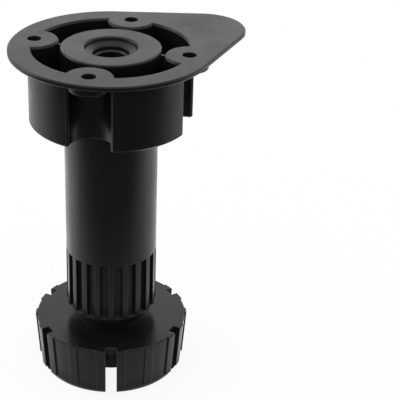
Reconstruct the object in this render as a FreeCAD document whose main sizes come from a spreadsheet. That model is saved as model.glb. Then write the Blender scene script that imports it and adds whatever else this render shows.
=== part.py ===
"""Adjustable cabinet leg in black plastic, standing on its foot with the Z axis up through its middle.

Three mouldings: a head that is screwed under the cabinet, a tube with a fluted grip that turns in
the head, and a notched foot whose hollow stem screws in and out of the tube. Millimetres.
"""
import FreeCAD
import Part
import Sketcher
import math
import os

from FreeCAD import Placement, Rotation, Vector

doc = FreeCAD.newDocument("cabinet_leg")

# Driving sizes, in millimetres and degrees
SIZES = {
    # How the three mouldings meet
    "turning_clearance": 0.15,
    "seat_clearance": 0.1,
    "crown_clearance": 0.3,
    "rest_gap": 5.8,
    # Head: drop-shaped flange, round skirt and hollow ring
    "flange_radius": 35.0,
    "tip_radius": 15.0,
    "tip_offset": 37.2,
    "flange_thickness": 1.8,
    "flange_edge": 0.35,
    "head_height": 26.4,
    "skirt_wall": 1.4,
    "skirt_edge": 0.5,
    "well_floor": 2.0,
    "well_edge": 0.6,
    # Head: crown over the tube, with its dished eye
    "crown_wall": 2.05,
    "crown_thickness": 3.0,
    "crown_rounding": 0.6,
    "dish_radius": 9.0,
    "dish_rounding": 0.8,
    "dish_ledge": 0.5,
    "dish_ledge_depth": 1.2,
    "dish_depth": 1.9,
    "eye_radius": 6.1,
    "eye_edge": 0.4,
    # Head: four screw seats, each over a driver channel
    "screw_count": 4,
    "screw_margin": 0.4,
    "screw_hole_radius": 2.5,
    "screw_turn": 45.0,
    "boss_radius": 6.6,
    "boss_drop": 2.5,
    "channel_radius": 7.2,
    "seat_overlap": 0.2,
    "channel_wall": 1.2,
    "channel_lean": 1.7,
    "lip_reach": 0.217,
    "channel_edge": 0.8,
    "web_thickness": 1.2,
    "web_drop": 0.4,
    # Tube
    "tube_radius": 16.35,
    "tube_length": 73.2,
    "tube_edge": 0.5,
    "tube_turned": 15.3,
    "shoulder_width": 1.25,
    "tube_roof": 2.0,
    "tube_eye_radius": 4.8,
    "tube_wall": 2.45,
    "thread_land_length": 22.0,
    "thread_land_recess": 2.5,
    "flute_count": 20,
    "flute_angle": 11.0,
    "flute_depth": 1.5,
    "flute_top": 22.6,
    "flute_foot": 0.6,
    "flute_runout": 0.9,
    # Foot
    "foot_height": 19.6,
    "foot_radius": 27.6,
    "toe_radius": 26.1,
    "toe_rounding": 2.0,
    "toe_wall": 3.4,
    "rim_wall": 2.6,
    "rim_edge": 0.4,
    "plate_thickness": 3.0,
    "pad_relief": 0.55,
    "pad_lift": 2.4,
    "grip_pad_angle": 22.6,
    "middle_pad_angle": 7.0,
    "notch_count": 6,
    "notch_width": 4.0,
    "notch_depth": 2.4,
    "hub_wall": 3.5,
    "hub_lift": 2.6,
    "foot_rib_thickness": 1.6,
    "foot_rib_depth": 9.0,
    "stem_relief": 1.5,
    "thread_height": 0.7,
    "stem_wall": 2.9,
    "stem_length": 46.0,
    "stem_edge": 1.0,
    # How far a cutting shape reaches past the surface that it cuts
    "overcut": 1.0,
}

sheet = doc.addObject("Spreadsheet::Sheet", "Sizes")
for row, (name, size) in enumerate(SIZES.items(), start=1):
    sheet.set(f"A{row}", name)
    sheet.set(f"B{row}", str(size))
    sheet.setAlias(f"B{row}", name)
doc.recompute()

# Heights and radii that follow from the sizes; each moulding's heights start at its own lower end
SAGITTA = "(1 - cos(45))"  # share of a rounding that its middle is cut back by
FLANGE_UNDERSIDE = "(Sizes.head_height - Sizes.flange_thickness)"
SOCKET_ROOF = "(Sizes.head_height - Sizes.crown_thickness)"
SPIGOT_RADIUS = "(Sizes.tube_radius - Sizes.shoulder_width)"
SOCKET_RADIUS = f"({SPIGOT_RADIUS} + Sizes.turning_clearance)"
CROWN_RADIUS = f"({SOCKET_RADIUS} + Sizes.crown_wall)"
SEAT_RADIUS = "(Sizes.channel_radius + Sizes.seat_overlap)"
SCREW_CIRCLE = f"(Sizes.flange_radius - Sizes.screw_margin - {SEAT_RADIUS})"
SKIRT_RADIUS = f"sqrt(({SCREW_CIRCLE} + Sizes.lip_reach)^2 + Sizes.channel_radius^2)"
WELL_RADIUS = f"({SKIRT_RADIUS} - Sizes.skirt_wall)"
TOWER_RADIUS = "(Sizes.channel_radius + Sizes.channel_wall)"
CHANNEL_FOOT = f"({SCREW_CIRCLE} - Sizes.channel_lean)"
CHANNEL_TILT = f"atan(Sizes.channel_lean / {FLANGE_UNDERSIDE})"
SPIGOT_TOP = f"(Sizes.tube_length + Sizes.seat_clearance + {SOCKET_ROOF} - Sizes.crown_clearance)"
BORE_RADIUS = "(Sizes.tube_radius - Sizes.tube_wall)"
STEM_RADIUS = f"({BORE_RADIUS} - Sizes.stem_relief)"
STEM_BORE = f"({STEM_RADIUS} - Sizes.stem_wall)"
HUB_RADIUS = f"({STEM_BORE} + Sizes.hub_wall)"
THREAD_RADIUS = f"({STEM_RADIUS} + Sizes.thread_height + Sizes.turning_clearance)"
THREAD_LAND_TOP = "(Sizes.thread_land_recess + Sizes.thread_land_length)"
PLATE_UNDERSIDE = "(Sizes.foot_height - Sizes.plate_thickness)"
STEM_TOP = "(Sizes.foot_height + Sizes.stem_length)"
TUBE_BOTTOM = "(Sizes.foot_height + Sizes.rest_gap)"
HEAD_BOTTOM = f"({TUBE_BOTTOM} + Sizes.tube_length + Sizes.seat_clearance)"


def number(expression):
    """The present value of an expression on the sheet."""
    return float(sheet.evalExpression(expression))


def rim_radius(height):
    """The foot's tapered rim radius at a height, as an expression."""
    slope = "(Sizes.foot_radius - Sizes.toe_radius) / Sizes.foot_height"
    return f"(Sizes.toe_radius + {slope} * {height})"


def new_body(label, lift=None, turn=None):
    """A moulding with its own frame, lifted along Z and turned about it if asked."""
    body = doc.addObject("PartDesign::Body", label)
    body.Label = label
    if turn is not None:
        body.Placement = Placement(Vector(), Rotation(Vector(0, 0, 1), number(turn)))
        body.setExpression("Placement.Rotation.Angle", turn)
    if lift is not None:
        body.setExpression("Placement.Base.z", lift)
    return body


def origin_feature(body, role):
    return next(item for item in body.Origin.OriginFeatures if item.Role == role)


def new_sketch(body, name, plane, height=None, turn=None):
    """A sketch on one of the body's own planes, lifted to a height and turned about Z if asked."""
    sketch = body.newObject("Sketcher::SketchObject", name)
    sketch.AttachmentSupport = [(origin_feature(body, plane), "")]
    sketch.MapMode = "FlatFace"
    if turn is not None:
        sketch.AttachmentOffset = Placement(Vector(), Rotation(Vector(0, 0, 1), number(turn)))
        sketch.setExpression("AttachmentOffset.Rotation.Angle", turn)
    if height is not None:
        sketch.setExpression("AttachmentOffset.Base.z", height)
    return sketch


def new_leaning_sketch(body, name):
    """A sketch across a driver channel, which leans to be over its screw hole at the flange."""
    sketch = new_sketch(body, name, "XY_Plane")
    sketch.setExpression("AttachmentOffset",
                         f"placement(vector(0; 0; 0); rotation(Sizes.screw_turn; {CHANNEL_TILT}; 0))")
    return sketch


def drive(sketch, constraint, expression):
    """Add a dimension to a sketch and bind it to the sheet."""
    sketch.setExpression(f"Constraints[{sketch.addConstraint(constraint)}]", expression)


def place_point(sketch, line, end, across, up):
    """Hold one end of a line at two distances from the origin; a distance of 0 is on the axis."""
    for kind, axis, expression in (("DistanceX", -2, across), ("DistanceY", -1, up)):
        if expression == "0":
            sketch.addConstraint(Sketcher.Constraint("PointOnObject", line, end, axis))
        else:
            size = number(expression)
            drive(sketch, Sketcher.Constraint(kind, -1, 1, line, end, size), expression)


def draw_profile(sketch, corners):
    """A closed outline of straight lines whose corners are held by expressions."""
    points = [Vector(number(across), number(up), 0) for across, up in corners]
    for index, start in enumerate(points):
        sketch.addGeometry(Part.LineSegment(start, points[(index + 1) % len(points)]), False)
    for index, (across, up) in enumerate(corners):
        following = (index + 1) % len(points)
        sketch.addConstraint(Sketcher.Constraint("Coincident", index, 2, following, 1))
        place_point(sketch, index, 1, across, up)


def draw_circle(sketch, radius, across):
    """A circle with its centre on the X axis."""
    centre = Vector(number(across), 0, 0)
    circle = sketch.addGeometry(Part.Circle(centre, Vector(0, 0, 1), number(radius)), False)
    drive(sketch, Sketcher.Constraint("Radius", circle, number(radius)), radius)
    place_point(sketch, circle, 3, across, "0")


def draw_bar(sketch, near, far, width):
    """A rectangle along the X axis, with half its width on each side."""
    x0, x1, half = number(near), number(far), number(width) / 2
    corners = [Vector(x0, -half, 0), Vector(x1, -half, 0), Vector(x1, half, 0), Vector(x0, half, 0)]
    for index, start in enumerate(corners):
        sketch.addGeometry(Part.LineSegment(start, corners[(index + 1) % 4]), False)
    for index in range(4):
        sketch.addConstraint(Sketcher.Constraint("Coincident", index, 2, (index + 1) % 4, 1))
    sketch.addConstraint(Sketcher.Constraint("Horizontal", 0))
    sketch.addConstraint(Sketcher.Constraint("Vertical", 1))
    sketch.addConstraint(Sketcher.Constraint("Horizontal", 2))
    sketch.addConstraint(Sketcher.Constraint("Symmetric", 3, 1, 3, 2, -1))
    drive(sketch, Sketcher.Constraint("DistanceX", -1, 1, 0, 1, x0), near)
    drive(sketch, Sketcher.Constraint("DistanceX", -1, 1, 0, 2, x1), far)
    drive(sketch, Sketcher.Constraint("DistanceY", 1, 1, 1, 2, 2 * half), width)


def draw_drop(sketch, large_radius, small_radius, offset):
    """A drop: a large arc about the origin and a small one along X, joined by their outer tangents."""
    large, small, reach = number(large_radius), number(small_radius), number(offset)
    turn = math.acos((large - small) / reach)
    up = Vector(0, 0, 1)
    tip = Vector(reach, 0, 0)
    touch = Vector(math.cos(turn), math.sin(turn), 0)
    low_touch = Vector(touch.x, -touch.y, 0)
    sketch.addGeometry(Part.ArcOfCircle(Part.Circle(Vector(), up, large), turn, 2 * math.pi - turn), False)
    sketch.addGeometry(Part.LineSegment(low_touch * large, tip + low_touch * small), False)
    sketch.addGeometry(Part.ArcOfCircle(Part.Circle(tip, up, small), -turn, turn), False)
    sketch.addGeometry(Part.LineSegment(tip + touch * small, touch * large), False)
    sketch.addConstraint(Sketcher.Constraint("Coincident", 0, 3, -1, 1))
    sketch.addConstraint(Sketcher.Constraint("PointOnObject", 2, 3, -1))
    for index in range(4):
        sketch.addConstraint(Sketcher.Constraint("Tangent", index, 2, (index + 1) % 4, 1))
    drive(sketch, Sketcher.Constraint("Radius", 0, large), large_radius)
    drive(sketch, Sketcher.Constraint("Radius", 2, small), small_radius)
    drive(sketch, Sketcher.Constraint("DistanceX", -1, 1, 2, 3, reach), offset)


def draw_trough(sketch, centre, radius, mouth):
    """A U along the X axis: an arc at its inner end and straight sides out to the mouth."""
    middle, half, outer = number(centre), number(radius), number(mouth)
    bend = Part.Circle(Vector(middle, 0, 0), Vector(0, 0, 1), half)
    sketch.addGeometry(Part.ArcOfCircle(bend, math.pi / 2, 3 * math.pi / 2), False)
    sketch.addGeometry(Part.LineSegment(Vector(middle, -half, 0), Vector(outer, -half, 0)), False)
    sketch.addGeometry(Part.LineSegment(Vector(outer, -half, 0), Vector(outer, half, 0)), False)
    sketch.addGeometry(Part.LineSegment(Vector(outer, half, 0), Vector(middle, half, 0)), False)
    sketch.addConstraint(Sketcher.Constraint("PointOnObject", 0, 3, -1))
    sketch.addConstraint(Sketcher.Constraint("Tangent", 0, 2, 1, 1))
    sketch.addConstraint(Sketcher.Constraint("Coincident", 1, 2, 2, 1))
    sketch.addConstraint(Sketcher.Constraint("Coincident", 2, 2, 3, 1))
    sketch.addConstraint(Sketcher.Constraint("Tangent", 3, 2, 0, 1))
    sketch.addConstraint(Sketcher.Constraint("Horizontal", 1))
    sketch.addConstraint(Sketcher.Constraint("Horizontal", 3))
    sketch.addConstraint(Sketcher.Constraint("Vertical", 2))
    drive(sketch, Sketcher.Constraint("DistanceX", -1, 1, 0, 3, middle), centre)
    drive(sketch, Sketcher.Constraint("Radius", 0, half), radius)
    drive(sketch, Sketcher.Constraint("DistanceX", -1, 1, 2, 1, outer), mouth)


def revolve(body, name, corners, cut=False, angle="360"):
    """Turn a profile of (radius, height) corners about the leg's axis, to add or to cut."""
    sketch = new_sketch(body, f"{name}_profile", "XZ_Plane")
    draw_profile(sketch, corners)
    feature = body.newObject("PartDesign::Groove" if cut else "PartDesign::Revolution", name)
    feature.Profile = sketch
    feature.ReferenceAxis = (sketch, ["V_Axis"])
    feature.Midplane = True
    feature.setExpression("Angle", angle)
    return feature


def extrude(body, name, sketch, length, cut=False, downwards=False):
    """Push a sketch along Z, to add or to cut."""
    feature = body.newObject("PartDesign::Pocket" if cut else "PartDesign::Pad", name)
    feature.Profile = sketch
    feature.setExpression("Length", length)
    feature.Reversed = downwards != cut
    return feature


def repeat(body, name, features, count):
    """Repeat features evenly round the leg's axis."""
    pattern = body.newObject("PartDesign::PolarPattern", name)
    pattern.Originals = features
    pattern.Axis = (origin_feature(body, "Z_Axis"), [""])
    pattern.Angle = 360
    pattern.setExpression("Occurrences", count)
    body.Tip = pattern


def bevel_edges(body, name, size, chosen):
    """Bevel those edges of the body so far that the test picks."""
    doc.recompute()
    base = body.Tip
    edges = [f"Edge{index}" for index, edge in enumerate(base.Shape.Edges, start=1) if chosen(edge)]
    feature = body.newObject("PartDesign::Chamfer", name)
    feature.Base = (base, edges)
    feature.setExpression("Size", size)
    body.Tip = feature


def at_height(edge, height):
    """Whether an edge lies level at a height."""
    return abs(edge.BoundBox.ZMin - height) < TINY and abs(edge.BoundBox.ZMax - height) < TINY


def middle_radius(edge):
    """How far the middle of an edge is from the leg's axis."""
    middle = edge.valueAt((edge.FirstParameter + edge.LastParameter) / 2)
    return math.hypot(middle.x, middle.y)


def bend_radius(edge):
    """An edge's own radius, or 0 where it isn't part of a circle."""
    return getattr(edge.Curve, "Radius", 0)


TINY = 0.001

# The head: a round drum, hollowed from above by a ring well round its crown
head = new_body("mounting_head", lift=HEAD_BOTTOM)
rough_radius = f"({SKIRT_RADIUS} + Sizes.overcut)"
revolve(head, "drum", [
    ("0", "0"),
    (rough_radius, "0"),
    (rough_radius, "Sizes.head_height"),
    ("0", "Sizes.head_height"),
])
revolve(head, "ring_well", [
    (CROWN_RADIUS, "Sizes.well_floor"),
    (WELL_RADIUS, "Sizes.well_floor"),
    (WELL_RADIUS, "Sizes.head_height"),
    (f"{CROWN_RADIUS} - Sizes.crown_rounding", "Sizes.head_height"),
    (f"{CROWN_RADIUS} - {SAGITTA} * Sizes.crown_rounding",
     f"Sizes.head_height - {SAGITTA} * Sizes.crown_rounding"),
    (CROWN_RADIUS, "Sizes.head_height - Sizes.crown_rounding"),
], cut=True)

# Under each screw seat a tower leans out from its foot, with a web to the crown and a driver channel
channel_middle = f"{CHANNEL_FOOT} * cos({CHANNEL_TILT})"
channel_run = "Sizes.head_height + 2 * Sizes.channel_lean + 2 * Sizes.overcut"
tower_plan = new_leaning_sketch(head, "tower_plan")
draw_trough(tower_plan, channel_middle, TOWER_RADIUS, f"{channel_middle} + Sizes.overcut")
tower = extrude(head, "tower", tower_plan, channel_run)
web_plan = new_sketch(head, "web_plan", "XY_Plane", "Sizes.well_floor", "Sizes.screw_turn")
draw_bar(web_plan, f"({SOCKET_RADIUS} + {CROWN_RADIUS}) / 2",
         f"{SCREW_CIRCLE} - Sizes.channel_radius", "Sizes.web_thickness")
web_height = "Sizes.head_height - Sizes.crown_rounding - Sizes.web_drop - Sizes.well_floor"
web = extrude(head, "web", web_plan, web_height)
channel_plan = new_leaning_sketch(head, "channel_plan")
draw_trough(channel_plan, channel_middle, "Sizes.channel_radius", "Sizes.flange_radius")
channel = extrude(head, "channel", channel_plan, channel_run, cut=True)
repeat(head, "screw_towers", [tower, web, channel], "Sizes.screw_count")

# The skirt's outer face, and the level ends of the towers
trim_reach = "(Sizes.flange_radius + Sizes.overcut)"
trim_low = "(-3 * Sizes.channel_lean - Sizes.overcut)"
trim_high = "(Sizes.head_height + 3 * Sizes.channel_lean + 2 * Sizes.overcut)"
revolve(head, "skirt", [
    ("0", trim_low),
    (trim_reach, trim_low),
    (trim_reach, trim_high),
    ("0", trim_high),
    ("0", "Sizes.head_height"),
    (SKIRT_RADIUS, "Sizes.head_height"),
    (SKIRT_RADIUS, "0"),
    ("0", "0"),
], cut=True)

# Bevelled lips of the driver channels and lower edge of the skirt
head_top = number("Sizes.head_height")
skirt_radius = number(SKIRT_RADIUS)
bevel_edges(head, "channel_lips", "Sizes.channel_edge", lambda edge:
            abs(edge.BoundBox.ZLength - head_top) < TINY
            and abs(middle_radius(edge) - skirt_radius) < TINY)
bevel_edges(head, "skirt_lip", "Sizes.skirt_edge", lambda edge: at_height(edge, 0))

# The drop-shaped flange round the wells
flange_outline = new_sketch(head, "flange_outline", "XY_Plane", "Sizes.head_height")
draw_drop(flange_outline, "Sizes.flange_radius", "Sizes.tip_radius", "Sizes.tip_offset")
draw_circle(flange_outline, f"{WELL_RADIUS} + Sizes.skirt_wall / 2", "0")
extrude(head, "flange", flange_outline, "Sizes.flange_thickness", downwards=True)

# Socket for the tube's spigot, and the dished eye through the crown
revolve(head, "socket", [
    ("0", "0"),
    (SOCKET_RADIUS, "0"),
    (SOCKET_RADIUS, SOCKET_ROOF),
    ("0", SOCKET_ROOF),
], cut=True)
revolve(head, "dished_eye", [
    ("0", f"{SOCKET_ROOF} - Sizes.overcut"),
    ("Sizes.eye_radius", f"{SOCKET_ROOF} - Sizes.overcut"),
    ("Sizes.eye_radius", "Sizes.head_height - Sizes.dish_depth - Sizes.eye_edge"),
    ("Sizes.eye_radius + Sizes.eye_edge", "Sizes.head_height - Sizes.dish_depth"),
    ("Sizes.dish_radius - Sizes.dish_ledge", "Sizes.head_height - Sizes.dish_ledge_depth"),
    ("Sizes.dish_radius", "Sizes.head_height - Sizes.dish_ledge_depth"),
    ("Sizes.dish_radius", "Sizes.head_height - Sizes.dish_rounding"),
    (f"Sizes.dish_radius + {SAGITTA} * Sizes.dish_rounding",
     f"Sizes.head_height - {SAGITTA} * Sizes.dish_rounding"),
    ("Sizes.dish_radius + Sizes.dish_rounding", "Sizes.head_height"),
    ("0", "Sizes.head_height"),
], cut=True)

# Screw seats: a disc level with the flange closes each channel, with a boss below and a hole through both
seat_plan = new_sketch(head, "seat_plan", "XY_Plane", "Sizes.head_height", "Sizes.screw_turn")
draw_circle(seat_plan, SEAT_RADIUS, SCREW_CIRCLE)
seat = extrude(head, "seat", seat_plan, "Sizes.flange_thickness", downwards=True)
seat_depth = "Sizes.flange_thickness + Sizes.boss_drop"
boss_plan = new_sketch(head, "boss_plan", "XY_Plane", "Sizes.head_height", "Sizes.screw_turn")
draw_circle(boss_plan, "Sizes.boss_radius", SCREW_CIRCLE)
boss = extrude(head, "boss", boss_plan, seat_depth, downwards=True)
hole_plan = new_sketch(head, "hole_plan", "XY_Plane", "Sizes.head_height", "Sizes.screw_turn")
draw_circle(hole_plan, "Sizes.screw_hole_radius", SCREW_CIRCLE)
hole = extrude(head, "screw_hole", hole_plan, f"{seat_depth} + Sizes.overcut", cut=True, downwards=True)
repeat(head, "screw_seats", [seat, boss, hole], "Sizes.screw_count")

# Bevelled rims of the wells and the flange
crown_radius = number(CROWN_RADIUS)
well_radius = number(WELL_RADIUS)
hole_radius = number("Sizes.screw_hole_radius")
flange_radius = number("Sizes.flange_radius")
flange_underside = number(FLANGE_UNDERSIDE)
bevel_edges(head, "well_rims", "Sizes.well_edge", lambda edge:
            at_height(edge, head_top) and abs(bend_radius(edge) - hole_radius) > TINY
            and crown_radius < middle_radius(edge) < well_radius + TINY)
bevel_edges(head, "flange_rim", "Sizes.flange_edge", lambda edge:
            (at_height(edge, head_top) or at_height(edge, flange_underside))
            and middle_radius(edge) > flange_radius - TINY)

# The tube: its shoulder carries the head, its spigot turns in the socket, its land takes the thread
tube = new_body("leg_tube", lift=TUBE_BOTTOM, turn="Sizes.tube_turned")
revolve(tube, "tube_wall", [
    (BORE_RADIUS, "0"),
    ("Sizes.tube_radius - Sizes.tube_edge", "0"),
    ("Sizes.tube_radius", "Sizes.tube_edge"),
    ("Sizes.tube_radius", "Sizes.tube_length"),
    (SPIGOT_RADIUS, "Sizes.tube_length"),
    (SPIGOT_RADIUS, f"{SPIGOT_TOP} - Sizes.tube_edge"),
    (f"{SPIGOT_RADIUS} - Sizes.tube_edge", SPIGOT_TOP),
    ("Sizes.tube_eye_radius + Sizes.tube_edge", SPIGOT_TOP),
    ("Sizes.tube_eye_radius", f"{SPIGOT_TOP} - Sizes.tube_edge"),
    ("Sizes.tube_eye_radius", f"{SPIGOT_TOP} - Sizes.tube_roof"),
    (BORE_RADIUS, f"{SPIGOT_TOP} - Sizes.tube_roof"),
    (BORE_RADIUS, THREAD_LAND_TOP),
    (THREAD_RADIUS, THREAD_LAND_TOP),
    (THREAD_RADIUS, "Sizes.thread_land_recess"),
    (BORE_RADIUS, "Sizes.thread_land_recess"),
])
flute = revolve(tube, "flute", [
    ("Sizes.tube_radius - Sizes.flute_depth", "Sizes.flute_top"),
    ("Sizes.tube_radius - Sizes.flute_depth", "Sizes.flute_foot + Sizes.flute_runout"),
    ("Sizes.tube_radius", "Sizes.flute_foot"),
    ("Sizes.tube_radius + Sizes.overcut", "Sizes.flute_foot"),
    ("Sizes.tube_radius + Sizes.overcut", "Sizes.flute_top"),
], cut=True, angle="Sizes.flute_angle")
repeat(tube, "fluted_grip", [flute], "Sizes.flute_count")

# The foot: tapered rim, plate and hub under the hollow stem
foot = new_body("adjuster_foot")
revolve(foot, "foot_shell", [
    (STEM_BORE, "Sizes.hub_lift"),
    (HUB_RADIUS, "Sizes.hub_lift"),
    (HUB_RADIUS, PLATE_UNDERSIDE),
    (f"{rim_radius(PLATE_UNDERSIDE)} - Sizes.rim_wall", PLATE_UNDERSIDE),
    ("Sizes.toe_radius - Sizes.toe_wall", "0"),
    ("Sizes.toe_radius - Sizes.toe_rounding", "0"),
    (f"Sizes.toe_radius - {SAGITTA} * Sizes.toe_rounding", f"{SAGITTA} * Sizes.toe_rounding"),
    (rim_radius("Sizes.toe_rounding"), "Sizes.toe_rounding"),
    (rim_radius("(Sizes.foot_height - Sizes.rim_edge)"), "Sizes.foot_height - Sizes.rim_edge"),
    ("Sizes.foot_radius - Sizes.rim_edge", "Sizes.foot_height"),
    (STEM_RADIUS, "Sizes.foot_height"),
    (STEM_RADIUS, f"{STEM_TOP} - Sizes.stem_edge"),
    (f"{STEM_RADIUS} - Sizes.stem_edge", STEM_TOP),
    (STEM_BORE, STEM_TOP),
])
# Raised pads that follow the rim: a wide one at each notch and a narrow one midway
pad = [
    (f"{rim_radius('Sizes.pad_lift')} - Sizes.rim_edge", "Sizes.pad_lift"),
    (f"{rim_radius('Sizes.pad_lift')} + Sizes.pad_relief", "Sizes.pad_lift"),
    (f"{rim_radius('(Sizes.foot_height - Sizes.rim_edge)')} + Sizes.pad_relief",
     "Sizes.foot_height - Sizes.rim_edge"),
    ("Sizes.foot_radius + Sizes.pad_relief - Sizes.rim_edge", "Sizes.foot_height"),
    ("Sizes.foot_radius - 2 * Sizes.rim_edge", "Sizes.foot_height"),
]
grip_pad = revolve(foot, "grip_pad", pad, angle="Sizes.grip_pad_angle")
repeat(foot, "grip_pads", [grip_pad], "Sizes.notch_count")
middle_pad = revolve(foot, "middle_pad", pad, angle="Sizes.middle_pad_angle")
repeat(foot, "middle_pads", [middle_pad], "2 * Sizes.notch_count")

# Ribs under the plate, then notches for fingers or a spanner, which open into the hollow below the plate
rib_plan = new_sketch(foot, "rib_plan", "XY_Plane", PLATE_UNDERSIDE, "180 / Sizes.notch_count")
draw_bar(rib_plan, f"{HUB_RADIUS} - Sizes.overcut", "Sizes.toe_radius - Sizes.toe_wall + Sizes.overcut",
         "Sizes.foot_rib_thickness")
rib = extrude(foot, "rib", rib_plan, "Sizes.foot_rib_depth", downwards=True)
repeat(foot, "ribs", [rib], "Sizes.notch_count")
past_pads = "Sizes.foot_radius + Sizes.pad_relief + Sizes.overcut"
notch_plan = new_sketch(foot, "notch_plan", "XY_Plane")
draw_bar(notch_plan, "Sizes.foot_radius - Sizes.notch_depth", past_pads, "Sizes.notch_width")
notch = extrude(foot, "notch", notch_plan, "Sizes.foot_height", cut=True)
slot_plan = new_sketch(foot, "slot_plan", "XY_Plane")
draw_bar(slot_plan, "Sizes.toe_radius - Sizes.toe_wall - Sizes.overcut", past_pads, "Sizes.notch_width")
slot = extrude(foot, "slot", slot_plan, PLATE_UNDERSIDE, cut=True)
repeat(foot, "notches", [notch, slot], "Sizes.notch_count")

# Nothing is written unless every step and every solid is sound
doc.recompute()
mouldings = [head, tube, foot]
for item in doc.Objects:
    if "Invalid" in item.State or "Error" in item.State:
        raise RuntimeError(f"{item.Name} failed: {item.State}")
for moulding in mouldings:
    shape = moulding.Shape
    if shape.isNull() or not shape.isValid() or len(shape.Solids) != 1:
        raise RuntimeError(f"{moulding.Label} is not one sound solid")

os.makedirs("parts", exist_ok=True)
for moulding in mouldings:
    moulding.Shape.exportStep(os.path.join("parts", f"{moulding.Label}.step"))
    box = moulding.Shape.BoundBox
    print(f"{moulding.Label}: {moulding.Shape.Volume / 1000:.2f} cm3, z {box.ZMin:.2f} to {box.ZMax:.2f}")
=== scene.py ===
import math

import bpy
from mathutils import Matrix, Vector


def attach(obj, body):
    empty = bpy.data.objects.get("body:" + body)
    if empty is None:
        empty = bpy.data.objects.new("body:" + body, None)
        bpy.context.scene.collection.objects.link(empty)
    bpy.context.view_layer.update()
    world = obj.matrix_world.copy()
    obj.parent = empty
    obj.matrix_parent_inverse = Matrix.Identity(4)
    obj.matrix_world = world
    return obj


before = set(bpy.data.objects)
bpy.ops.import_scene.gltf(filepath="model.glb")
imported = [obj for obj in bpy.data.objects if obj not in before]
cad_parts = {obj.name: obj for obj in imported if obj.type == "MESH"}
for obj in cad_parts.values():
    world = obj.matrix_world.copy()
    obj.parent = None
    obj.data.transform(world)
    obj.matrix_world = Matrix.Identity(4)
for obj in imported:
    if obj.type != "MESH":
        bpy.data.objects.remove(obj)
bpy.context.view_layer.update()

# Mounting head: one black polypropylene moulding, screwed under the cabinet by its drop-shaped flange.
# Its mould was spark-eroded to an even satin, the plastic flowed outwards from the crown, and the
# edges came out of the mould slightly rounded, so they catch the light as thin lines. A painted
# highlight also lightens the colour along the edges.
DEEP_BLACK = (0.0048, 0.0048, 0.0049, 1)
PALE_BLACK = (0.0090, 0.0090, 0.0091, 1)
DUST_GREY = (0.070, 0.070, 0.068, 1)
CLOUDS_PER_METRE = 70.0
FLOW_LINES_PER_METRE = 900.0
GRAINS_PER_METRE = 5200.0
SPECKS_PER_METRE = 620.0
GRAIN_HEIGHT = 0.0001
GRAIN_STRENGTH = 0.14
GRAIN_IN_RELIEF = 0.55
FLOW_IN_RELIEF = 0.45
CLOUD_UNEVENNESS = 0.28
FLOW_UNEVENNESS = 0.10
GRAIN_UNEVENNESS = 0.06
CORNER_REACH = 0.0012
RECESS_REACH = 0.005
EDGE_SAMPLES = 6
EDGE_HIGHLIGHT_SHARE = 0.75
EDGE_POLISH = 0.06
RECESS_DULLNESS = 0.45
DUST_COVER = 0.35
MIX_SHARE = 0
MIX_BASE = 6
MIX_LAYER = 7
MIX_COLOUR = 2


class Signal:
    """One socket in a node tree; arithmetic on values adds Math nodes."""

    def __init__(self, tree, socket=None):
        self.tree = tree
        self.socket = socket

    def node(self, kind, settings=None, values=None, output=0):
        """Add a node: its settings first, then its sockets' values or links."""
        made = self.tree.nodes.new(kind)
        for name, setting in (settings or {}).items():
            if name == "stops":
                for stop, (position, level) in zip(made.color_ramp.elements, setting):
                    stop.position = position
                    stop.color = (level, level, level, 1.0)
            else:
                setattr(made, name, setting)
        for name, value in (values or {}).items():
            if isinstance(value, Signal):
                self.tree.links.new(value.socket, made.inputs[name])
            else:
                made.inputs[name].default_value = value
        return Signal(self.tree, made.outputs[output])

    def maths(self, operation, first, second):
        return self.node("ShaderNodeMath", {"operation": operation}, {0: first, 1: second})

    def __add__(self, other):
        return self.maths("ADD", self, other)

    def __sub__(self, other):
        return self.maths("SUBTRACT", self, other)

    def __rsub__(self, other):
        return self.maths("SUBTRACT", other, self)

    def __mul__(self, other):
        return self.maths("MULTIPLY", self, other)

    __radd__ = __add__
    __rmul__ = __mul__


def dot(first, second):
    """The dot product of two vectors, the first of them a link."""
    return first.node("ShaderNodeVectorMath", {"operation": "DOT_PRODUCT"}, {0: first, 1: second}, "Value")


def noise(place, per_metre, detail):
    """Soft noise with so many lumps to the metre."""
    return place.node("ShaderNodeTexNoise", {}, {"Vector": place, "Scale": per_metre, "Detail": detail})


def ramp(value, *stops):
    """A grey level that runs between two stops, each a value and a level."""
    return value.node("ShaderNodeValToRGB", {"stops": stops}, {"Fac": value})


def blend(share, base, layer):
    """A base colour with a share of a layer over it."""
    return share.node("ShaderNodeMix", {"data_type": "RGBA"},
                      {MIX_SHARE: share, MIX_BASE: base, MIX_LAYER: layer}, MIX_COLOUR)


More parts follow.
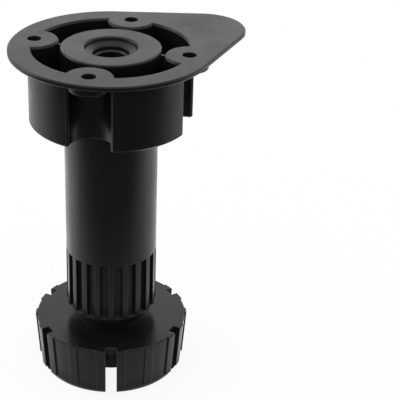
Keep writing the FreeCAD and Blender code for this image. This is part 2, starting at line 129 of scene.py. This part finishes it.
def moulded_black(name, flow_scale, sheen, index, edge_radius, edge_highlight_tone):
    """Black moulded plastic: fine grain, flow lines, a painted highlight along the edges and recesses left
    duller.
    """
    material = bpy.data.materials.new(name)
    material.use_nodes = True
    tree = material.node_tree
    plastic = tree.nodes["Principled BSDF"]
    shade = Signal(tree)
    place = shade.node("ShaderNodeTexCoord", output="Object")
    drawn = shade.node("ShaderNodeVectorMath", {"operation": "MULTIPLY"}, {0: place, 1: flow_scale})
    cloud = noise(place, CLOUDS_PER_METRE, 3.0)
    flow = noise(drawn, FLOW_LINES_PER_METRE, 3.0)
    grain = noise(place, GRAINS_PER_METRE, 2.0)
    specks = shade.node("ShaderNodeTexVoronoi", {}, {"Vector": place, "Scale": SPECKS_PER_METRE})
    dust = ramp(specks, (0.05, 1.0), (0.09, 0.0))
    patch = ramp(cloud, (0.52, 0.0), (0.68, 1.0))

    rounded = shade.node("ShaderNodeBevel", {"samples": EDGE_SAMPLES}, {"Radius": edge_radius})
    facing = shade.node("ShaderNodeNewGeometry", output="Normal")
    bent = ramp(1.0 - dot(rounded, facing), (0.0, 0.0), (0.22, 1.0))
    near_open, wide_open = (
        shade.node("ShaderNodeAmbientOcclusion", {"samples": EDGE_SAMPLES, "only_local": True},
                   {"Distance": reach}, "AO") for reach in (CORNER_REACH, RECESS_REACH))
    edge = bent * ramp(near_open, (0.72, 0.0), (0.94, 1.0))
    recess = ramp(wide_open, (0.45, 1.0), (0.85, 0.0))

    tone = blend(cloud, DEEP_BLACK, PALE_BLACK)
    # Painted highlight: the colour is lightened along the convex edges, so they show as thin light lines.
    highlighted = blend(edge * EDGE_HIGHLIGHT_SHARE, tone, (edge_highlight_tone, edge_highlight_tone, edge_highlight_tone, 1))
    dusted = blend(dust * patch * DUST_COVER, highlighted, DUST_GREY)
    uneven = CLOUD_UNEVENNESS * (cloud - 0.5) + FLOW_UNEVENNESS * (flow - 0.5)
    uneven = uneven + GRAIN_UNEVENNESS * (grain - 0.5)
    rough = sheen + uneven - EDGE_POLISH * edge + RECESS_DULLNESS * recess
    relief = GRAIN_IN_RELIEF * grain + FLOW_IN_RELIEF * flow
    bump = shade.node("ShaderNodeBump", {}, {
        "Strength": GRAIN_STRENGTH, "Distance": GRAIN_HEIGHT, "Height": relief, "Normal": rounded})
    tree.links.new(dusted.socket, plastic.inputs["Base Color"])
    tree.links.new(rough.socket, plastic.inputs["Roughness"])
    tree.links.new(bump.socket, plastic.inputs["Normal"])
    plastic.inputs["IOR"].default_value = index
    return material


def dress(name, finish):
    """Give one of the leg's solids its finish."""
    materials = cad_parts[name].data.materials
    materials.clear()
    materials.append(finish)


head_finish = moulded_black("head_satin_black", flow_scale=(0.6, 0.6, 0.25), sheen=0.32, index=1.38,
                            edge_radius=0.0004, edge_highlight_tone=0.20)
dress("mounting_head", head_finish)

# Leg tube: a black polypropylene moulding that turns in the head, with a smoother wall than the head's.
# It was drawn off its core along the axis, which leaves faint upright lines, and the hand turns it by
# the fluted grip at its lower end.
tube_finish = moulded_black("tube_satin_black", flow_scale=(1.0, 1.0, 0.02), sheen=0.28, index=1.45,
                            edge_radius=0.0003, edge_highlight_tone=0.13)
dress("leg_tube", tube_finish)

# Adjuster foot: a hollow black polypropylene moulding whose threaded stem screws into the tube. It is
# gripped by its raised pads and notches, and its top, the smoothest face of the leg, mirrors the tube.
foot_finish = moulded_black("foot_satin_black", flow_scale=(0.5, 0.5, 0.5), sheen=0.22, index=1.355,
                            edge_radius=0.00045, edge_highlight_tone=0.15)
dress("adjuster_foot", foot_finish)

# Threads: a coarse right-hand ridge moulded round the foot's stem, and the ridge inside the tube that
# runs in its groove. Both climb 3 mm a turn, so the foot rises and falls as the tube is turned.
THREAD_PITCH = 0.003
THREAD_START = 0.0209
TUBE_THREAD_PITCHES_UP = 2.5
RIDGE_FOOT_WIDTH = 0.0017
RIDGE_CREST_WIDTH = 0.0008
RIDGE_RUN_OUT = 0.012
RIDGE_TIP_SCALE = 0.05
STEPS_PER_TURN = 72


def ridge_tree():
    """A ridge wound round the leg's axis, dying away at both ends; returns the tree and its inputs."""
    tree = bpy.data.node_groups.new("wound_ridge", "GeometryNodeTree")
    kinds = {"Radius": "Float", "Turns": "Float", "Rise": "Float", "Reach": "Float",
             "Foot Width": "Float", "Crest Width": "Float", "Run Out": "Float",
             "Lift": "Vector", "Steps": "Int", "Finish": "Material"}
    inputs = {label: tree.interface.new_socket(label, in_out="INPUT", socket_type=f"NodeSocket{kind}")
              for label, kind in kinds.items()}
    tree.interface.new_socket("Ridge", in_out="OUTPUT", socket_type="NodeSocketGeometry")
    given_node = tree.nodes.new("NodeGroupInput")
    given = {label: Signal(tree, given_node.outputs[label]) for label in inputs}
    wire = Signal(tree)
    winding = wire.node("GeometryNodeCurveSpiral", {}, {
        "Resolution": given["Steps"], "Rotations": given["Turns"], "Height": given["Rise"],
        "Start Radius": given["Radius"], "End Radius": given["Radius"], "Reverse": True})
    upright = wire.node("GeometryNodeSetCurveNormal", {"mode": "Z_UP"}, {"Curve": winding})
    sense = wire.node("ShaderNodeMath", {"operation": "SIGN"}, {0: given["Reach"]})
    corners = []
    for outward, upward in ((0.0, -0.5), (1.0, -0.5), (1.0, 0.5), (0.0, 0.5)):
        width = given["Crest Width"] if outward else given["Foot Width"]
        corners.append(wire.node("ShaderNodeCombineXYZ", {}, {
            "X": given["Reach"] * outward, "Y": width * sense * upward}))
    outline = wire.node("GeometryNodeCurvePrimitiveQuadrilateral", {"mode": "POINTS"}, {
        f"Point {index}": corner for index, corner in enumerate(corners, start=1)})
    from_start = wire.node("GeometryNodeSplineParameter", output="Length")
    from_end = wire.node("GeometryNodeSplineLength", output="Length") - from_start
    nearest = wire.maths("MINIMUM", from_start, from_end)
    fade = wire.node("ShaderNodeMapRange", {}, {
        "Value": nearest, "From Max": given["Run Out"], "To Min": RIDGE_TIP_SCALE, "To Max": 1.0})
    swept = wire.node("GeometryNodeCurveToMesh", {}, {
        "Curve": upright, "Profile Curve": outline, "Scale": fade, "Fill Caps": True})
    placed = wire.node("GeometryNodeTransform", {}, {"Geometry": swept, "Translation": given["Lift"]})
    flat = wire.node("GeometryNodeSetShadeSmooth", {}, {"Geometry": placed, "Shade Smooth": False})
    real = wire.node("GeometryNodeRealizeInstances", {}, {"Geometry": flat})
    dressed = wire.node("GeometryNodeSetMaterial", {}, {"Geometry": real, "Material": given["Finish"]})
    tree.links.new(dressed.socket, tree.nodes.new("NodeGroupOutput").inputs["Ridge"])
    return tree, {label: socket.identifier for label, socket in inputs.items()}


wound_ridge, ridge_inputs = ridge_tree()


def wind_thread(name, radius, reach, turns, start, finish):
    """A plain mesh of one thread; a reach below nothing points it inwards."""
    sizes = {"Radius": radius, "Reach": reach, "Turns": turns, "Rise": turns * THREAD_PITCH,
             "Foot Width": RIDGE_FOOT_WIDTH, "Crest Width": RIDGE_CREST_WIDTH, "Run Out": RIDGE_RUN_OUT,
             "Lift": (0.0, 0.0, start), "Steps": STEPS_PER_TURN, "Finish": finish}
    carrier = bpy.data.objects.new(name, bpy.data.meshes.new(name))
    bpy.context.scene.collection.objects.link(carrier)
    winding = carrier.modifiers.new("winding", "NODES")
    winding.node_group = wound_ridge
    for label, size in sizes.items():
        winding[ridge_inputs[label]] = size
    evaluated = carrier.evaluated_get(bpy.context.evaluated_depsgraph_get())
    mesh = bpy.data.meshes.new_from_object(evaluated)
    carrier.modifiers.clear()
    carrier.data = mesh
    mesh.name = name
    return carrier


stem_thread = wind_thread("stem_thread", radius=0.01235, reach=0.00075, turns=14.2,
                          start=THREAD_START, finish=foot_finish)
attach(stem_thread, "foot")

tube_thread = wind_thread("tube_thread", radius=0.0133, reach=-0.0007, turns=6.6,
                          start=THREAD_START + TUBE_THREAD_PITCHES_UP * THREAD_PITCH, finish=tube_finish)
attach(tube_thread, "tube")

# Table: a plain white sweep that the leg stands on, and that stays under the foot as the foot is set
# higher or lower. It glows white to the camera. What the leg mirrors of it is painted light: white
# behind the leg, dimmer to the right and far off, dimmest in front, with a painted shadow close under the
# foot.
CAMERA_YAW = math.radians(-33.909)
FLOOR_SIZE = 6.0
FLOOR_WHITE = 0.90
PAPER_GREY = 0.12
PAPER_LIFT = 0.80
MIRRORED_GAIN = 0.35
FAR_DIMMING = 0.30
away = Vector((-math.sin(CAMERA_YAW), math.cos(CAMERA_YAW), 0))
across = Vector((math.cos(CAMERA_YAW), math.sin(CAMERA_YAW), 0))


def ray_kinds(tree):
    """Marks for the rays that come from the camera, from a glossy surface and through a clear one."""
    start = Signal(tree)
    return [start.node("ShaderNodeLightPath", output=f"Is {kind} Ray")
            for kind in ("Camera", "Glossy", "Transmission")]


def rise(value, start, end, low=0.0, high=1.0):
    """A smooth rise from low at the start to high at the end."""
    return value.node("ShaderNodeMapRange", {"interpolation_type": "SMOOTHSTEP"}, {
        "Value": value, "From Min": start, "From Max": end, "To Min": low, "To Max": high})


half = FLOOR_SIZE / 2
floor_mesh = bpy.data.meshes.new("floor")
floor_mesh.from_pydata([(-half, -half, 0), (half, -half, 0), (half, half, 0), (-half, half, 0)],
                       [], [(0, 1, 2, 3)])
floor = bpy.data.objects.new("floor", floor_mesh)
bpy.context.scene.collection.objects.link(floor)
floor_white = bpy.data.materials.new("floor_white")
floor_white.use_nodes = True
floor_nodes = floor_white.node_tree
floor_nodes.nodes.remove(floor_nodes.nodes["Principled BSDF"])
sweep = Signal(floor_nodes)
seen, mirrored, through = ray_kinds(floor_nodes)
spot = sweep.node("ShaderNodeTexCoord", output="Object")
distance = sweep.node("ShaderNodeVectorMath", {"operation": "LENGTH"}, {0: spot}, "Value")
# Painted light and shadow: as mirrored, the floor glows bright behind the leg, dim in front, and is dimmed
# round the foot.
behind = rise(dot(spot, away), start=-0.125, end=0.05, low=0.02)
painted_shadow_near_foot = rise(distance, start=0.024, end=0.035, low=0.40)
to_right = rise(dot(spot, across), start=0.02, end=0.08)
far_off = rise(distance, start=0.13, end=0.23)
dimmed = 1.0 - FAR_DIMMING * sweep.maths("MAXIMUM", to_right, far_off)
shown = FLOOR_WHITE * seen + behind * painted_shadow_near_foot * dimmed * mirrored + FLOOR_WHITE * through
paper = sweep.node("ShaderNodeBsdfDiffuse", {}, {"Color": PAPER_GREY + PAPER_LIFT * seen})
glow = sweep.node("ShaderNodeEmission", {}, {
    "Color": (1, 1, 1, 1), "Strength": 1.0 + MIRRORED_GAIN * mirrored})
lit = sweep.node("ShaderNodeMixShader", {}, {0: shown, 1: paper, 2: glow})
from_below = sweep.node("ShaderNodeNewGeometry", output="Backfacing")
unseen = sweep.node("ShaderNodeBsdfTransparent")
one_sided = sweep.node("ShaderNodeMixShader", {}, {0: from_below, 1: lit, 2: unseen})
floor_nodes.links.new(one_sided.socket, floor_nodes.nodes["Material Output"].inputs["Surface"])
floor_mesh.materials.append(floor_white)
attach(floor, "foot")

# Studio: a white surround that dims towards the camera, a broad soft light behind the leg, a tall one
# on its left, a weaker one on its right and a square one overhead.
SURROUND_FILL = 0.75
up = Vector((0, 0, 1))
scene = bpy.context.scene
scene.view_settings.view_transform = "Standard"
surround = bpy.data.worlds.new("white_surround")
surround.use_nodes = True
scene.world = surround
surround_nodes = surround.node_tree
seen, mirrored, through = ray_kinds(surround_nodes)
direction = Signal(surround_nodes).node("ShaderNodeTexCoord", output="Generated")
wall = rise(dot(direction, away), start=-0.75, end=0.25, low=0.10, high=0.70)
brightness = seen + through + wall * mirrored + SURROUND_FILL * (1.0 - seen - through - mirrored)
white = surround_nodes.nodes["Background"]
white.inputs["Color"].default_value = (1, 1, 1, 1)
surround_nodes.links.new(brightness.socket, white.inputs["Strength"])


def soft_light(name, place, aim_height, width, height, radiance):
    """A flat soft light, placed by (right, away, up) from the foot and aimed at the leg's axis."""
    lamp = bpy.data.lights.new(name, "AREA")
    lamp.shape = "RECTANGLE"
    lamp.size = width
    lamp.size_y = height
    lamp.energy = radiance * math.pi * width * height
    holder = bpy.data.objects.new(name, lamp)
    scene.collection.objects.link(holder)
    stand = across * place[0] + away * place[1] + up * place[2]
    holder.location = stand
    holder.rotation_euler = (up * aim_height - stand).to_track_quat("-Z", "Y").to_euler()


soft_light("back_light", (0.0, 1.2, 0.55), aim_height=0.1, width=2.0, height=0.7, radiance=0.62)
soft_light("left_light", (-0.9, 0.15, 0.35), aim_height=0.07, width=0.45, height=1.0, radiance=2.0)
soft_light("right_light", (0.95, 0.35, 0.35), aim_height=0.07, width=0.35, height=1.0, radiance=0.8)
soft_light("top_light", (0.0, -0.15, 1.3), aim_height=0.1, width=1.0, height=1.0, radiance=0.9)

# Camera: a long lens about half a metre off, looking down on the leg from in front at the angle of the
# photograph. So near, the leg narrows a little towards its foot.
CAMERA_PLACE = Vector((-0.2134, -0.3745, 0.2949))
CAMERA_PITCH = math.radians(27.875)
CAMERA_ROLL = math.radians(1.919)
SENSOR_WIDTH = 36.0
FOCAL_LENGTH = 122.17
NEAR_LIMIT = 0.01
forward = away * math.cos(CAMERA_PITCH) - up * math.sin(CAMERA_PITCH)
above = away * math.sin(CAMERA_PITCH) + up * math.cos(CAMERA_PITCH)
right = across * math.cos(CAMERA_ROLL) + above * math.sin(CAMERA_ROLL)
top = above * math.cos(CAMERA_ROLL) - across * math.sin(CAMERA_ROLL)
lens = bpy.data.cameras.new("camera")
lens.sensor_width = SENSOR_WIDTH
lens.lens = FOCAL_LENGTH
lens.clip_start = NEAR_LIMIT
camera = bpy.data.objects.new("camera", lens)
scene.collection.objects.link(camera)
turn = Matrix((right, top, -forward)).transposed().to_4x4()
camera.matrix_world = Matrix.Translation(CAMERA_PLACE) @ turn
scene.camera = camera
